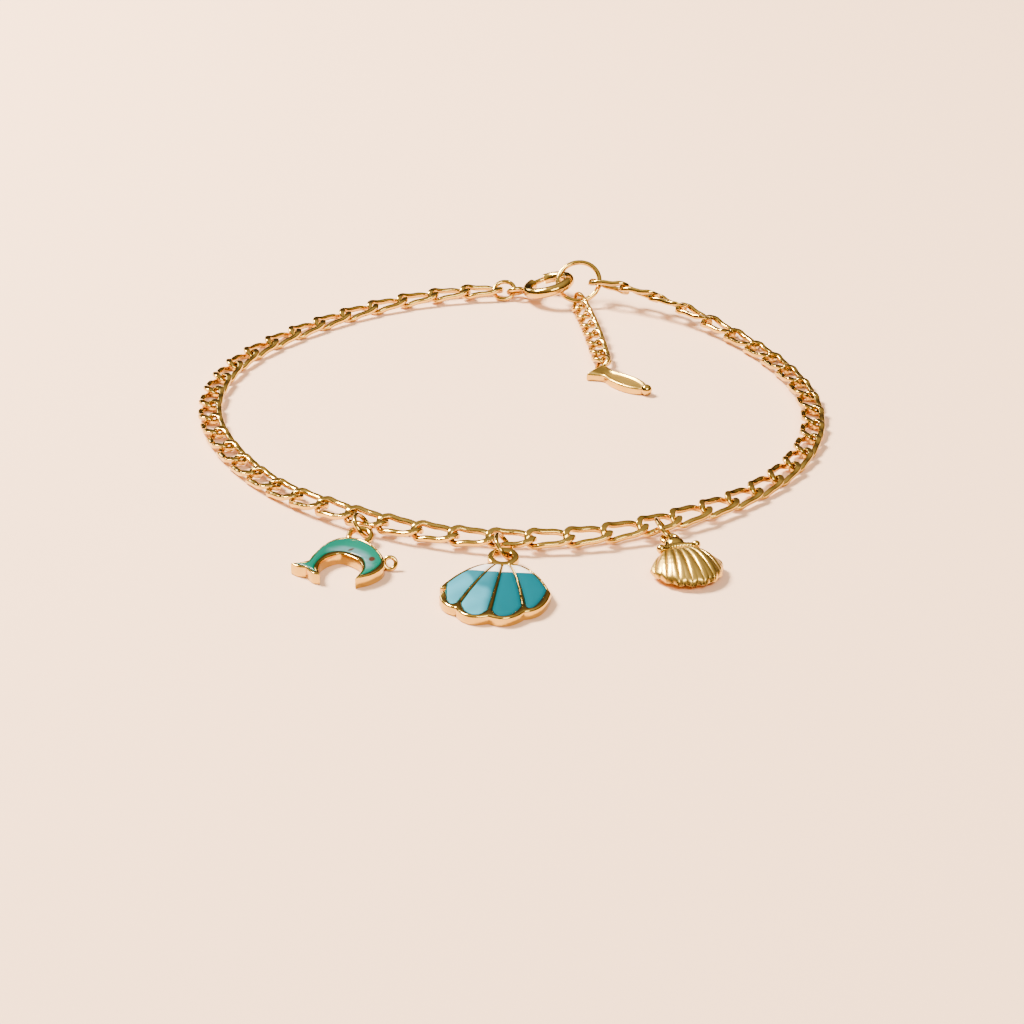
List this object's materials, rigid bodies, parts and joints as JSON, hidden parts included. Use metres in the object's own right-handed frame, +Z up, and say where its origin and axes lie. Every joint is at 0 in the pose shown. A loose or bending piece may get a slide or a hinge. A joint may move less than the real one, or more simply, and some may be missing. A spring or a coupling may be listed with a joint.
{
  "type": "charm bracelet",
  "caption": "Closed curb-chain bracelet with an enamelled dolphin charm, an enamelled shell charm, a cast shell charm, a spring-ring clasp and an extender tail.",
  "frame": {"origin": "middle of the bounding box's footprint, on the surface the bracelet lies on", "axes": "+Z up, -Y towards the charms at the front of the loop, +Y towards the clasp, +X to the right seen from the charms"},
  "size_m": [0.0596, 0.0776, 0.0041],
  "materials": {
    "gold": "polished yellow gold plate",
    "teal_enamel": "glossy green-teal enamel",
    "aqua_enamel": "glossy aqua enamel",
    "white_enamel": "glossy white enamel"
  },
  "bodies": {
    "bracelet": {"chain_left": "gold", "chain_right": "gold", "clasp_jump_ring": "gold", "clasp_body": "gold", "end_ring": "gold", "tail_chain": "gold", "tail_tag": "gold", "dolphin_ring": "gold", "dolphin_body": "gold", "dolphin_enamel": "teal_enamel", "shell_ring": "gold", "shell_body": "gold", "shell_white_1": "white_enamel", "shell_white_2": "white_enamel", "shell_white_3": "white_enamel", "shell_white_4": "white_enamel", "shell_aqua_1": "aqua_enamel", "shell_aqua_2": "aqua_enamel", "shell_aqua_3": "aqua_enamel", "shell_aqua_4": "aqua_enamel", "cast_shell_ring": "gold", "cast_shell_body": "gold"},
    "bolt": {"clasp_bolt": "gold"}
  },
  "joints": [
    {"name": "clasp_lever", "type": "hinge", "parent": "bracelet", "child": "bolt", "pos_m": [0.0039, 0.03558, 0.00177], "axis": [-0.2566, 0.0433, 0.9655], "range_deg": [-36, 0], "stiffness_Nm_per_rad": 0.000002}
  ]
}
